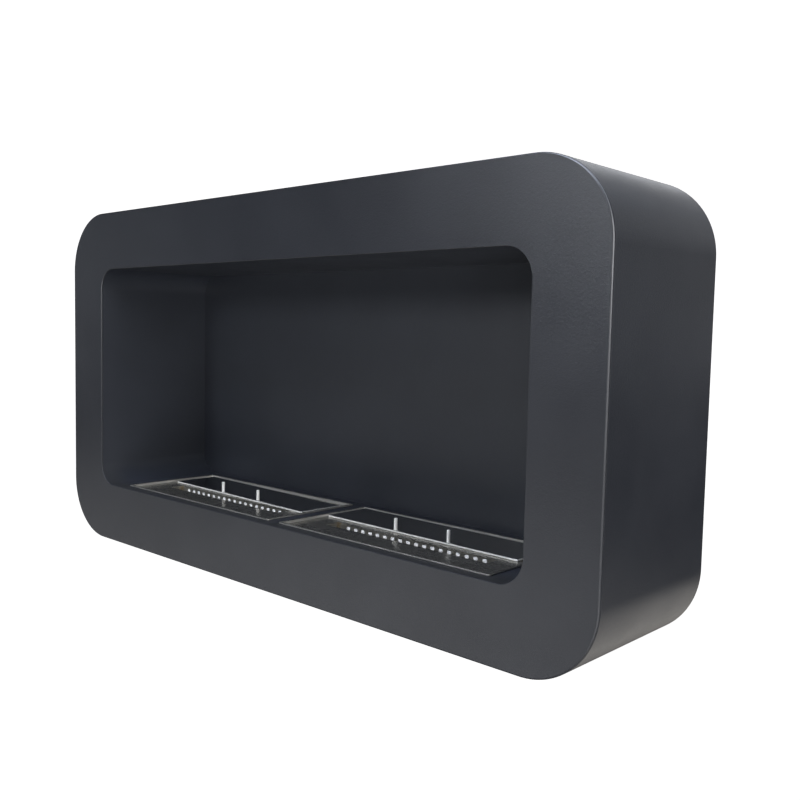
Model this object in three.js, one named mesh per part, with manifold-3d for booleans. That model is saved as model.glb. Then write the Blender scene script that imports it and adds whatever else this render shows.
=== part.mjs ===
// Wall-hung bioethanol fireplace with two burner inserts.
// Millimetres. +X to the right seen from the room, +Y into the wall, +Z up.
// Origin: centre of the rear face, the plane that lies against the wall.

import * as THREE from 'three';
import { mergeVertices } from 'three/addons/utils/BufferGeometryUtils.js';
import Module from 'manifold-3d';

const wasm = await Module();
wasm.setup();

// ---------------------------------------------------------------- dimensions
const W = 900;               // casing width
const H = 466;               // casing height
const D = 195;               // casing depth
const R = 80;                // outer corner radius
const GAP = 0.3;             // clearance kept between touching pieces

const PANEL_T = 2.0;         // front panel sheet
const SHEET = 1.5;           // wrap, liner, back and cover sheet
const OPEN_W = 742;          // fire opening
const OPEN_H = 307;
const OPEN_R = 30;
const OPEN_ZC = 0.5;         // opening centre above the casing centre
const LINER_OUT = 0.5;       // liner inner face lies this far outside the opening edge
const FIREBOX_END = 177.6;   // front face to the firebox back sheet

const BURNER_X = 166;        // burner centre from the casing centre
const BURNER_YC = 87.75;     // burner centre behind the front face
const LIP_W = 312;           // tray lip, outer
const LIP_D = 143.5;
const LIP_T = 1.5;
const RECESS_W = 305;        // tray recess, inner
const RECESS_D = 136.5;
const RECESS_Z = -1.7;       // recess floor, from the firebox floor
const TRAY_T = 1.2;
const CUT_CLEAR = 0.6;       // clearance round the tray in the floor cut-out

const SLOT_L = 240;          // flame slot
const SLOT_Y0 = -27.75;      // its front and rear edges, from the burner centre
const SLOT_Y1 = -8.25;
const CHANNEL_T = 1.0;
const CHANNEL_Z = -33;       // underside of the burner channel
const HOLES = 18;            // perforation of the channel walls
const HOLE_PITCH = 12;
const HOLE_R = 2.9;
const HOLE_Z = -6.6;

const TANK_Z = -65.4;        // underside of the fuel tank
const TANK_T = 1.2;

const LID_W = 290;           // sliding lid
const LID_D = 63;
const LID_TOP = 1.1;
const LID_T = 1.5;
const LID_LIE = {            // how each loose lid lies in its tray when open:
  left: [1, 27.5, -1.83],    // its centre in x and y from the burner centre,
  right: [-6, 33.1, -1.04],  // and its turn in degrees
};
const PIN_X = [-31.6, 49.0]; // push pins, from the lid's centre
const PIN_IN = 3.4;          // and behind its front edge
const PIN_R = 2.0;
const PIN_H = 13.2;

const KEY_X = 300;           // hanging slots in the rear cover
const KEY_Z = 190;           // entry hole centre
const KEY_R = 6;             // entry hole radius
const KEY_SLOT_R = 3;        // half width of the slot above it
const KEY_RISE = 16;         // entry centre to the slot's round end

const SCREW_R = 1.9;         // cover screws
const SCREW_HEAD_R = 3.5;
const SCREW_L = 8;

const yF = -D;               // front face
const zB = -H / 2;           // underside

// ----------------------------------------------------------------- materials
const powder = () => new THREE.MeshStandardMaterial({ color: 0x2c2e32, roughness: 0.5, metalness: 0.1 });
const powderIn = () => new THREE.MeshStandardMaterial({ color: 0x292b2f, roughness: 0.55, metalness: 0.1 });
const zinc = () => new THREE.MeshStandardMaterial({ color: 0x8d9296, roughness: 0.45, metalness: 0.85 });
const stainless = () => new THREE.MeshStandardMaterial({ color: 0x8f8e88, roughness: 0.28, metalness: 1.0 });
const polished = () => new THREE.MeshStandardMaterial({ color: 0xb9b9b6, roughness: 0.15, metalness: 1.0 });
const fibre = () => new THREE.MeshStandardMaterial({ color: 0xf1efe9, roughness: 0.95, metalness: 0.0 });

// ------------------------------------------------------------------- helpers
function roundRect(w, h, r, cx = 0, cy = 0) {
  const s = new THREE.Shape();
  const a = w / 2, b = h / 2;
  s.moveTo(cx - a + r, cy - b);
  s.lineTo(cx + a - r, cy - b);
  s.absarc(cx + a - r, cy - b + r, r, -Math.PI / 2, 0, false);
  s.lineTo(cx + a, cy + b - r);
  s.absarc(cx + a - r, cy + b - r, r, 0, Math.PI / 2, false);
  s.lineTo(cx - a + r, cy + b);
  s.absarc(cx - a + r, cy + b - r, r, Math.PI / 2, Math.PI, false);
  s.lineTo(cx - a, cy - b + r);
  s.absarc(cx - a + r, cy - b + r, r, Math.PI, 1.5 * Math.PI, false);
  return s;
}

// A keyhole: round entry with a narrower slot rising from it.
function keyhole(cx, cz, rEntry, rSlot, rise) {
  const s = new THREE.Path();
  const a = Math.asin(rSlot / rEntry);
  s.moveTo(cx + rSlot, cz + rEntry * Math.cos(a));
  s.lineTo(cx + rSlot, cz + rise);
  s.absarc(cx, cz + rise, rSlot, 0, Math.PI, false);
  s.lineTo(cx - rSlot, cz + rEntry * Math.cos(a));
  s.absarc(cx, cz, rEntry, Math.PI / 2 + a, 2.5 * Math.PI - a, false);
  return s;
}

// Sheet lying in the XZ plane between y0 (front) and y1 (rear).
function sheetXZ(shape, y0, y1, curveSegments = 6) {
  const g = new THREE.ExtrudeGeometry(shape, { depth: y1 - y0, bevelEnabled: false, curveSegments });
  g.rotateX(Math.PI / 2);
  g.translate(0, y1, 0);
  return g;
}

// Sheet lying in the XY plane between z0 and z1.
function sheetXY(shape, z0, z1, curveSegments = 2) {
  const g = new THREE.ExtrudeGeometry(shape, { depth: z1 - z0, bevelEnabled: false, curveSegments });
  g.translate(0, 0, z0);
  return g;
}

// Folded section given as [y, z] points, running along X from x0 to x1.
function sectionX(points, x0, x1) {
  const s = new THREE.Shape(points.map(([a, b]) => new THREE.Vector2(a, b)));
  const g = new THREE.ExtrudeGeometry(s, { depth: x1 - x0, bevelEnabled: false });
  g.applyMatrix4(new THREE.Matrix4().makeBasis(
    new THREE.Vector3(0, 1, 0), new THREE.Vector3(0, 0, 1), new THREE.Vector3(1, 0, 0)));
  g.translate(x0, 0, 0);
  return g;
}

// Folded section given as [x, z] points, running along Y from y0 to y1.
function sectionY(points, y0, y1) {
  const s = new THREE.Shape(points.map(([a, b]) => new THREE.Vector2(a, b)));
  return sheetXZ(s, y0, y1);
}

function block(x0, x1, y0, y1, z0, z1) {
  const g = new THREE.BoxGeometry(x1 - x0, y1 - y0, z1 - z0);
  g.translate((x0 + x1) / 2, (y0 + y1) / 2, (z0 + z1) / 2);
  return g;
}

function solid(geometry) {
  let g = geometry.clone();
  g.deleteAttribute('normal');
  g.deleteAttribute('uv');
  g = mergeVertices(g, 1e-4);
  return new wasm.Manifold(new wasm.Mesh({
    numProp: 3,
    vertProperties: new Float32Array(g.attributes.position.array),
    triVerts: new Uint32Array(g.index.array),
  }));
}

function geometryOf(manifold) {
  const m = manifold.getMesh();
  const pos = new Float32Array(m.numVert * 3);
  for (let i = 0; i < m.numVert; i++) {
    for (let k = 0; k < 3; k++) pos[3 * i + k] = m.vertProperties[m.numProp * i + k];
  }
  const g = new THREE.BufferGeometry();
  g.setAttribute('position', new THREE.BufferAttribute(pos, 3));
  g.setIndex(new THREE.BufferAttribute(new Uint32Array(m.triVerts), 1));
  g.computeVertexNormals();
  return g;
}

function cut(geometry, tools) {
  let m = solid(geometry);
  for (const t of tools) m = m.subtract(solid(t));
  return geometryOf(m);
}

function join(list) {
  let m = solid(list[0]);
  for (const t of list.slice(1)) m = m.add(solid(t));
  return m;
}

function mesh(name, geometry, material, parent) {
  const m = new THREE.Mesh(geometry, material);
  m.name = name;
  parent.add(m);
  return m;
}

const fireplace = new THREE.Group();
fireplace.name = 'bioethanol_fireplace';

// -------------------------------------------------------------------- casing
// Flat front panel with the round-cornered fire opening.
{
  const s = roundRect(W, H, R);
  s.holes.push(roundRect(OPEN_W, OPEN_H, OPEN_R, 0, OPEN_ZC));
  mesh('front_panel', sheetXZ(s, yF, yF + PANEL_T, 8), powder(), fireplace);
}

// One band of sheet bent round all four corners, from the panel to the wall.
{
  const s = roundRect(W, H, R);
  s.holes.push(roundRect(W - 2 * SHEET, H - 2 * SHEET, R - SHEET));
  mesh('outer_wrap', sheetXZ(s, yF + PANEL_T + GAP, 0, 8), powder(), fireplace);
}

// Rounded tunnel behind the opening, its floor cut out for the two burners.
const LW = OPEN_W + 2 * LINER_OUT, LH = OPEN_H + 2 * LINER_OUT, LR = OPEN_R + LINER_OUT;
const FLOOR_Z = OPEN_ZC - LH / 2;              // firebox floor, upper face
const CUT_W = RECESS_W + 2 * TRAY_T + 2 * CUT_CLEAR;
const CUT_D = RECESS_D + 2 * TRAY_T + 2 * CUT_CLEAR;
{
  const s = roundRect(LW + 2 * SHEET, LH + 2 * SHEET, LR + SHEET, 0, OPEN_ZC);
  s.holes.push(roundRect(LW, LH, LR, 0, OPEN_ZC));
  const tunnel = sheetXZ(s, yF + PANEL_T + GAP, yF + FIREBOX_END - GAP, 5);
  const tools = [-1, 1].map((k) => {
    const t = sheetXY(roundRect(CUT_W, CUT_D, 3), FLOOR_Z - 5, FLOOR_Z + 5, 2);
    t.translate(k * BURNER_X, yF + BURNER_YC, 0);
    return t;
  });
  mesh('firebox_liner', cut(tunnel, tools), powderIn(), fireplace);
  mesh('firebox_back',
    sheetXZ(roundRect(LW + 2 * SHEET, LH + 2 * SHEET, LR + SHEET, 0, OPEN_ZC),
      yF + FIREBOX_END, yF + FIREBOX_END + SHEET, 5),
    powderIn(), fireplace);
}

// Channel sections that carry the firebox floor off the bottom of the wrap.
const zUnder = FLOOR_Z - SHEET - GAP;          // just under the floor sheet
const zInner = zB + SHEET + GAP;               // just above the bottom of the wrap
function channelSection(y0, y1, open) {
  const t = SHEET;
  return open > 0
    ? [[y0, zInner], [y1, zInner], [y1, zInner + t], [y0 + t, zInner + t],
       [y0 + t, zUnder - t], [y1, zUnder - t], [y1, zUnder], [y0, zUnder]]
    : [[y0, zInner], [y1, zInner], [y1, zUnder], [y0, zUnder],
       [y0, zUnder - t], [y1 - t, zUnder - t], [y1 - t, zInner + t], [y0, zInner + t]];
}
mesh('floor_rail_front', sectionX(channelSection(yF + 3.5, yF + 14.5, 1), -330, 330), zinc(), fireplace);
mesh('floor_rail_rear', sectionX(channelSection(yF + 161, yF + 173, -1), -330, 330), zinc(), fireplace);

// Folded brackets between the liner and the wrap, at the top and at both sides.
const zTop0 = OPEN_ZC + LH / 2 + SHEET + GAP;  // just above the liner
const zTop1 = H / 2 - SHEET - GAP;             // just under the top of the wrap
for (const [name, k] of [['liner_bracket_top_left', -1], ['liner_bracket_top_right', 1]]) {
  const t = SHEET, a = k * 210, w = 18;
  const xs = [a, a + k * w];
  const pts = [[xs[0], zTop0], [xs[1], zTop0], [xs[1], zTop0 + t], [xs[0] + k * t, zTop0 + t],
    [xs[0] + k * t, zTop1 - t], [xs[1], zTop1 - t], [xs[1], zTop1], [xs[0], zTop1]];
  mesh(name, sectionY(k > 0 ? pts : pts.slice().reverse(), yF + 60, yF + 120), zinc(), fireplace);
}
const xIn = LW / 2 + SHEET + GAP, xOut = W / 2 - SHEET - GAP;
for (const [name, k] of [['liner_bracket_side_left', -1], ['liner_bracket_side_right', 1]]) {
  const t = SHEET, z0 = -20, z1 = -2;
  const pts = [[k * xIn, z0], [k * xOut, z0], [k * xOut, z1], [k * (xOut - t), z1],
    [k * (xOut - t), z0 + t], [k * (xIn + t), z0 + t], [k * (xIn + t), z1], [k * xIn, z1]];
  mesh(name, sectionY(k > 0 ? pts : pts.slice().reverse(), yF + 60, yF + 120), zinc(), fireplace);
}

// ---------------------------------------------------------------- rear cover
const zTab = H / 2 - SHEET - GAP;              // inner faces the tabs are fixed to
const xTab = W / 2 - SHEET - GAP;
const TAB_T = 2, TAB_W = 24, TAB_REACH = 20, TAB_FOOT = 16;
const SCREW_IN = 12.5;                         // screw axis in from the wrap
const screws = [
  ['1', -345, zTab - SCREW_IN, 'top'], ['2', 0, zTab - SCREW_IN, 'top'], ['3', 345, zTab - SCREW_IN, 'top'],
  ['4', xTab - SCREW_IN, 0, 'right'],
  ['5', 345, -zTab + SCREW_IN, 'bottom'], ['6', 0, -zTab + SCREW_IN, 'bottom'], ['7', -345, -zTab + SCREW_IN, 'bottom'],
  ['8', -xTab + SCREW_IN, 0, 'left'],
];

function cone(rWide, rNarrow, y0, y1, segments = 16) {
  // Wide end at y1, narrow end at y0.
  const g = new THREE.CylinderGeometry(rWide, rNarrow, y1 - y0, segments);
  g.translate(0, (y0 + y1) / 2, 0);
  return g;
}

{
  const s = roundRect(W - 2 * SHEET - 2 * GAP, H - 2 * SHEET - 2 * GAP, R - SHEET - GAP);
  for (const k of [-1, 1]) s.holes.push(keyhole(k * KEY_X, KEY_Z, KEY_R, KEY_SLOT_R, KEY_RISE));
  const plate = sheetXZ(s, -SHEET, 0, 8);
  const tools = screws.map(([, x, z]) => {
    const g = cone(SCREW_HEAD_R + GAP + 0.8 / 3, SCREW_R + GAP - 0.8 / 3, -SHEET - 0.25, 0.25);
    g.translate(x, 0, z);
    return g;
  });
  mesh('rear_cover', cut(plate, tools), powder(), fireplace);
}

// Plates welded behind the hanging slots, so that thick sheet carries the weight.
for (const [name, k] of [['hanger_plate_left', -1], ['hanger_plate_right', 1]]) {
  const s = roundRect(60, 56, 4, k * KEY_X, KEY_Z + 5);
  s.holes.push(keyhole(k * KEY_X, KEY_Z, KEY_R + 0.5, KEY_SLOT_R + 0.2, KEY_RISE + 0.2));
  mesh(name, sheetXZ(s, -SHEET - GAP - 2.5, -SHEET - GAP, 5), zinc(), fireplace);
}

// L-shaped tabs inside the wrap, each taking one countersunk cover screw.
for (const [n, x, z, side] of screws) {
  const y1 = -SHEET - GAP;
  const g = join([
    block(-TAB_W / 2, TAB_W / 2, y1 - TAB_T, y1, -(TAB_REACH - SCREW_IN), SCREW_IN),
    block(-TAB_W / 2, TAB_W / 2, y1 - TAB_FOOT, y1, SCREW_IN - TAB_T, SCREW_IN),
  ]).subtract(solid(cone(SCREW_R + GAP, SCREW_R + GAP, y1 - TAB_T - 1, y1 + 1, 12)));
  const tab = mesh('cover_tab_' + n, geometryOf(g), zinc(), fireplace);
  tab.position.set(x, 0, z);
  tab.rotation.y = { top: 0, right: Math.PI / 2, bottom: Math.PI, left: -Math.PI / 2 }[side];

  const p = [[0, -SCREW_L], [SCREW_R - 0.5, -SCREW_L], [SCREW_R, -SCREW_L + 0.6], [SCREW_R, -SHEET],
    [SCREW_HEAD_R, 0], [1.25, 0], [1.25, -1.1], [0, -1.1]];
  const screw = mesh('cover_screw_' + n,
    new THREE.LatheGeometry(p.map(([a, b]) => new THREE.Vector2(a, b)), 12), zinc(), fireplace);
  screw.position.set(x, 0, z);
}

// ------------------------------------------------------------------- burners
for (const [side, k] of [['left', -1], ['right', 1]]) {
  const burner = new THREE.Group();
  burner.position.set(k * BURNER_X, yF + BURNER_YC, FLOOR_Z);
  fireplace.add(burner);

  // Tray: a lip that lies on the firebox floor, a shallow recess and the slot.
  const lip = sheetXY(roundRect(LIP_W, LIP_D, 3), GAP, GAP + LIP_T);
  const pan = sheetXY(roundRect(RECESS_W + 2 * TRAY_T, RECESS_D + 2 * TRAY_T, 2.7), RECESS_Z - TRAY_T, GAP + LIP_T);
  const recess = sheetXY(roundRect(RECESS_W, RECESS_D, 1.5), RECESS_Z, 10);
  const slotShape = roundRect(SLOT_L, SLOT_Y1 - SLOT_Y0, 0.8, 0, (SLOT_Y0 + SLOT_Y1) / 2);
  const tray = join([lip, pan]).subtract(solid(recess)).subtract(solid(sheetXY(slotShape, -10, 10)));
  mesh(`burner_tray_${side}`, geometryOf(tray), stainless(), burner);

  // Fuel tank: a deep box under the tray, its open top closed by the tray.
  const tankTop = RECESS_Z - TRAY_T - GAP;
  const tankOuter = sheetXY(roundRect(RECESS_W + 2 * TRAY_T, RECESS_D + 2 * TRAY_T, 2.7), TANK_Z, tankTop);
  const tankInner = sheetXY(roundRect(RECESS_W, RECESS_D, 1.1), TANK_Z + TANK_T, 10, 1);
  mesh(`fuel_tank_${side}`, cut(tankOuter, [tankInner]), stainless(), burner);

  // Burner channel: folded trough under the slot with a row of holes in both
  // long walls.
  const cx = SLOT_L / 2 + CHANNEL_T;
  const outer = block(-cx, cx, SLOT_Y0 - CHANNEL_T, SLOT_Y1 + CHANNEL_T, CHANNEL_Z, tankTop);
  const inner = block(-SLOT_L / 2, SLOT_L / 2, SLOT_Y0, SLOT_Y1, CHANNEL_Z + CHANNEL_T, 5);
  const holes = [];
  for (let i = 0; i < HOLES; i++) {
    const h = new THREE.CylinderGeometry(HOLE_R, HOLE_R, 40, 10);
    h.translate((i - (HOLES - 1) / 2) * HOLE_PITCH, (SLOT_Y0 + SLOT_Y1) / 2, HOLE_Z);
    holes.push(h);
  }
  mesh(`burner_channel_${side}`, cut(outer, [inner, ...holes]), stainless(), burner);

  // Ceramic fibre that soaks up the fuel, packed round the channel.
  const wool = block(-RECESS_W / 2 + GAP + 1, RECESS_W / 2 - GAP - 1, -RECESS_D / 2 + GAP + 1, RECESS_D / 2 - GAP - 1,
    TANK_Z + TANK_T + GAP, tankTop - 1.5);
  const pocket = block(-cx - GAP, cx + GAP, SLOT_Y0 - CHANNEL_T - GAP, SLOT_Y1 + CHANNEL_T + GAP, CHANNEL_Z - GAP, 5);
  mesh(`ceramic_wool_${side}`, cut(wool, [pocket]), fibre(), burner);

  // Sliding lid: flat plate on turned-down lips at the front and both sides.
  const lie = new THREE.Group();
  lie.position.set(LID_LIE[side][0], LID_LIE[side][1], 0);
  lie.rotation.z = LID_LIE[side][2] * Math.PI / 180;
  burner.add(lie);
  const a = LID_W / 2, b = LID_D / 2, zl = RECESS_Z + GAP, yPin = -b + PIN_IN;
  const lid = join([
    block(-a, a, -b, b, LID_TOP - LID_T, LID_TOP),
    block(-a, a, -b, -b + LID_T, zl, LID_TOP),
    block(-a, -a + LID_T, -b, b, zl, LID_TOP),
    block(a - LID_T, a, -b, b, zl, LID_TOP),
  ]);
  let lidBody = lid;
  for (const x of PIN_X) {
    lidBody = lidBody.subtract(solid((() => {
      const g = new THREE.CylinderGeometry(1.8, 1.8, 10, 12);
      g.rotateX(Math.PI / 2);
      g.translate(x, yPin, 0);
      return g;
    })()));
  }
  mesh(`slide_lid_${side}`, geometryOf(lidBody), stainless(), lie);

  // Push pins: shouldered studs, their tenons through the lid.
  PIN_X.forEach((x, i) => {
    const z0 = LID_TOP + GAP, z1 = LID_TOP + PIN_H;
    const p = [[0, LID_TOP - LID_T + 0.1], [1.5, LID_TOP - LID_T + 0.1], [1.5, z0], [PIN_R, z0],
      [PIN_R, z1 - 0.4], [PIN_R - 0.4, z1], [0, z1]];
    const g = new THREE.LatheGeometry(p.map(([r, z]) => new THREE.Vector2(r, z)), 16);
    g.rotateX(Math.PI / 2);
    g.translate(x, yPin, 0);
    mesh(`lid_pin_${side}_${i + 1}`, g, polished(), lie);
  });
}

export default fireplace;
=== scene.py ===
"""Looks of a wall-hung bioethanol fireplace with two burner inserts.

Lengths in the modelling code are millimetres, turned into metres when a mesh is made.
X to the right seen from the room, Y into the wall, Z up, origin at the centre of the rear face.
"""

import math

import bmesh
import bpy
from mathutils import Matrix, Vector, noise


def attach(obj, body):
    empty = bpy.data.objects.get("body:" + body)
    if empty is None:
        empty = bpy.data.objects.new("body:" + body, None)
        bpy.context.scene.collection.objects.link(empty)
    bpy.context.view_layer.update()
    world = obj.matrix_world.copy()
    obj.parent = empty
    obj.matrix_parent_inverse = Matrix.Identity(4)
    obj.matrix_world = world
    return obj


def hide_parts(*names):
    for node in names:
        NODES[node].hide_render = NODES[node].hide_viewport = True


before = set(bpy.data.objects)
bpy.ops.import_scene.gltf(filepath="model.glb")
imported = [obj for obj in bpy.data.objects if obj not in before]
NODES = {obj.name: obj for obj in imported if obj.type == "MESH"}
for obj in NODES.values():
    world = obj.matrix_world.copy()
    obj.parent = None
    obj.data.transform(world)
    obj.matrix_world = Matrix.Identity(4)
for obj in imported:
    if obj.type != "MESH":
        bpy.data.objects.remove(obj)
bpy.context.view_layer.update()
scene = bpy.context.scene
MM = 0.001
SIDES = (("left", -1), ("right", 1))

# ------------------------------------------------------------------ dimensions
W, H, D, R = 900.0, 466.0, 195.0, 80.0
YF = -D
PANEL_T, SHEET, GAP = 2.0, 1.5, 0.3
OPEN_W, OPEN_H, OPEN_R, OPEN_ZC = 742.0, 307.0, 30.0, 0.5
LINER_W, LINER_H, LINER_R = 743.0, 308.0, 30.5
FLOOR_Z = -153.5
BACK_Y = -17.4
BURNER_X, BURNER_Y = 166.0, -107.25
LIP_W, LIP_D, LIP_R = 312.0, 143.5, 3.0
PAN_W, PAN_D, PAN_R = 307.4, 138.9, 2.7
REC_W, REC_D, REC_R, REC_Z = 305.0, 136.5, 1.5, -1.7
LIP_TOP, LIP_UNDER, PAN_UNDER = 1.8, 0.3, -2.9
SLOT_L, SLOT_Y0, SLOT_Y1 = 240.0, -27.75, -8.25
HOLES, PITCH, HOLE_R, HOLE_Z = 18, 12.0, 3.15, -6.6
CH_BOTTOM = -33.0
TANK_TOP, TANK_BOTTOM = -3.2, -65.4
LID_W, LID_D, LID_TOP, LID_T = 290.0, 63.0, 1.1, 1.5
LID_LIE = {"left": (1.0, 27.5, -1.83), "right": (-6.0, 33.1, -1.04)}  # x, y from the burner centre, turn in degrees
PIN_X, PIN_IN, PIN_R, PIN_H = (-31.6, 49.0), 3.4, 2.0, 13.2
KEY_X, KEY_Z, KEY_R, KEY_SR, KEY_RISE = 300.0, 190.0, 6.0, 3.0, 16.0
SCREWS = ((-345, 218.7), (0, 218.7), (345, 218.7), (435.7, 0), (345, -218.7), (0, -218.7), (-345, -218.7), (-435.7, 0))


# ------------------------------------------------------------------ camera
def look():
    yaw, pitch, roll = (math.radians(a) for a in (42.9233, 4.4208, 1.2512))
    f = Vector((-math.sin(yaw) * math.cos(pitch), math.cos(yaw) * math.cos(pitch), -math.sin(pitch)))
    right = Vector((math.cos(yaw), math.sin(yaw), 0.0))
    up = right.cross(f)
    r2 = math.cos(roll) * right + math.sin(roll) * up
    u2 = -math.sin(roll) * right + math.cos(roll) * up
    cam = bpy.data.cameras.new("view_camera")
    cam.sensor_fit = "HORIZONTAL"
    cam.sensor_width = 36.0
    cam.sensor_height = 36.0
    cam.lens = 40.609
    cam.clip_start = 0.01
    cam.clip_end = 60.0
    ob = bpy.data.objects.new("view_camera", cam)
    scene.collection.objects.link(ob)
    m = Matrix((r2, u2, -f)).transposed().to_4x4()
    m.translation = Vector((0.828679, -0.852451, 0.0770))
    ob.matrix_world = m
    scene.camera = ob


look()


# ------------------------------------------------------------------ mesh helpers
def outline(w, d, r, n, cx=0.0, cy=0.0):
    """Rounded rectangle, counter-clockwise, n segments a corner."""
    r = max(r, 0.01)
    pts = []
    for k, (sx, sy) in enumerate(((1, -1), (1, 1), (-1, 1), (-1, -1))):
        ax, ay = cx + sx * (w / 2 - r), cy + sy * (d / 2 - r)
        for i in range(n + 1):
            a = math.radians(-90 + 90 * k + 90 * i / n)
            pts.append((ax + r * math.cos(a), ay + r * math.sin(a)))
    return pts


def flat_loop(pts, z):
    return [(x, y, z) for x, y in pts]


def wall_loop(pts, y):
    return [(x, y, z) for x, z in pts]


def arc(n, a0, a1):
    return [math.radians(a0 + (a1 - a0) * i / n) for i in range(n + 1)]


def ring_faces(n_loops, n_pts, closed):
    faces = []
    for j in range(n_loops if closed else n_loops - 1):
        a, b = j * n_pts, ((j + 1) % n_loops) * n_pts
        for i in range(n_pts):
            k = (i + 1) % n_pts
            faces.append((a + i, a + k, b + k, b + i))
    return faces


def raw(name, verts, faces):
    """A mesh object from millimetre points, cleaned and with its faces out."""
    me = bpy.data.meshes.new(name)
    me.from_pydata([(x * MM, y * MM, z * MM) for x, y, z in verts], [], faces)
    bm = bmesh.new()
    bm.from_mesh(me)
    bmesh.ops.remove_doubles(bm, verts=bm.verts, dist=2e-7)
    bmesh.ops.recalc_face_normals(bm, faces=bm.faces)
    bm.to_mesh(me)
    bm.free()
    ob = bpy.data.objects.new(name, me)
    scene.collection.objects.link(ob)
    return ob


def loft(name, loops, closed=True):
    """Closed solid through equal loops: a ring when closed, capped at both ends when not."""
    n = len(loops[0])
    verts = [p for lp in loops for p in lp]
    faces = ring_faces(len(loops), n, closed)
    if not closed:
        faces.append(tuple(range(n)))
        faces.append(tuple(range((len(loops) - 1) * n, len(loops) * n)))
    return raw(name, verts, faces)


def lathe(name, profile, n, place, axis="Z"):
    """Turned solid from (radius, height) points whose first and last lie on the axis."""
    verts, faces, rings = [], [], []
    for r, h in profile:
        if r < 1e-6:
            rings.append([len(verts)])
            verts.append((0.0, 0.0, h))
        else:
            rings.append(list(range(len(verts), len(verts) + n)))
            verts += [(r * math.cos(2 * math.pi * i / n), r * math.sin(2 * math.pi * i / n), h) for i in range(n)]
    for a, b in zip(rings, rings[1:]):
        for i in range(n):
            k = (i + 1) % n
            if len(a) == 1 and len(b) > 1:
                faces.append((a[0], b[k], b[i]))
            elif len(b) == 1 and len(a) > 1:
                faces.append((a[i], a[k], b[0]))
            elif len(a) > 1:
                faces.append((a[i], a[k], b[k], b[i]))
    if axis == "Y":
        verts = [(x, z, -y) for x, y, z in verts]
    return raw(name, [(x + place[0], y + place[1], z + place[2]) for x, y, z in verts], faces)


def bake(ob):
    """Applies the modifiers."""
    dg = bpy.context.evaluated_depsgraph_get()
    me = bpy.data.meshes.new_from_object(ob.evaluated_get(dg), preserve_all_data_layers=True, depsgraph=dg)
    ob.modifiers.clear()
    old = ob.data
    ob.data = me
    me.name = ob.name
    bpy.data.meshes.remove(old)
    return ob


def carve(ob, cutter, operation="DIFFERENCE"):
    m = ob.modifiers.new("cut", "BOOLEAN")
    m.operation = operation
    m.solver = "EXACT"
    m.object = cutter
    bake(ob)
    data = cutter.data
    bpy.data.objects.remove(cutter)
    bpy.data.meshes.remove(data)
    return ob


def bevel(ob, width, segments=3, angle=40.0):
    m = ob.modifiers.new("edge", "BEVEL")
    m.width = width * MM
    m.segments = segments
    m.limit_method = "ANGLE"
    m.angle_limit = math.radians(angle)
    m.miter_outer = "MITER_ARC"
    return bake(ob)


def box_uv(me):
    """Flat projection by each face's main direction, with U along X wherever there is an X. One unit is a metre."""
    uv = me.uv_layers.get("UVMap") or me.uv_layers.new(name="UVMap")
    for p in me.polygons:
        n = p.normal
        a = (abs(n.x), abs(n.y), abs(n.z))
        for li in p.loop_indices:
            c = me.vertices[me.loops[li].vertex_index].co
            if a[2] >= a[0] and a[2] >= a[1]:
                uv.data[li].uv = (c.x, c.y)
            elif a[1] >= a[0]:
                uv.data[li].uv = (c.x, c.z)
            else:
                uv.data[li].uv = (c.y, c.z)


def shade(ob, angle=38.0):
    me = ob.data
    me.shade_smooth()
    me.set_sharp_from_angle(angle=math.radians(angle))
    m = ob.modifiers.new("normals", "WEIGHTED_NORMAL")
    m.mode = "FACE_AREA"
    m.weight = 50
    m.keep_sharp = True
    return bake(ob)


def finish(ob, body, material, nodes=(), angle=38.0):
    """Shading, finish, body and the CAD nodes that the piece stands for."""
    shade(ob, angle)
    box_uv(ob.data)
    ob.data.materials.clear()
    ob.data.materials.append(material)
    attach(ob, body)
    if nodes:
        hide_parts(*nodes)
    return ob


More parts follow.
